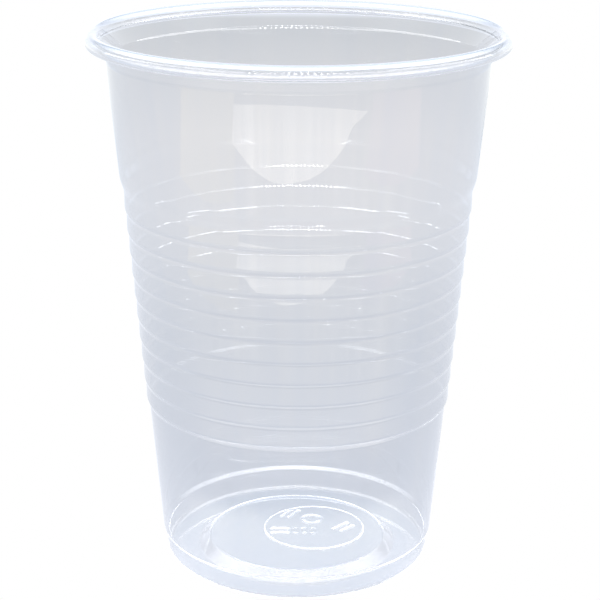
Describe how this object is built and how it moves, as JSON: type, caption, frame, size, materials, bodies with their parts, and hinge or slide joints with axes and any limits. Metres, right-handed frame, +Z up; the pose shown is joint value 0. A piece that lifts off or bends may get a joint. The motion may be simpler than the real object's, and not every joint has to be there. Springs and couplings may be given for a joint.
{
  "type": "plastic disposable cup",
  "caption": "Clear thin-walled disposable drinking cup with a rolled rim, stepped grip bands and a stacking foot.",
  "frame": {"origin": "centre of the flat ring under the foot, on the surface that the cup stands on", "axes": "+Z up the cup's axis towards the mouth; the small pad in the base is off centre towards +X and +Y"},
  "size_m": [0.073, 0.073, 0.0954],
  "materials": {
    "clear_plastic": "clear polypropylene sheet, smooth and glossy, with a slight cool haze"
  },
  "bodies": {
    "root": {"cup": "clear_plastic"}
  },
  "joints": []
}
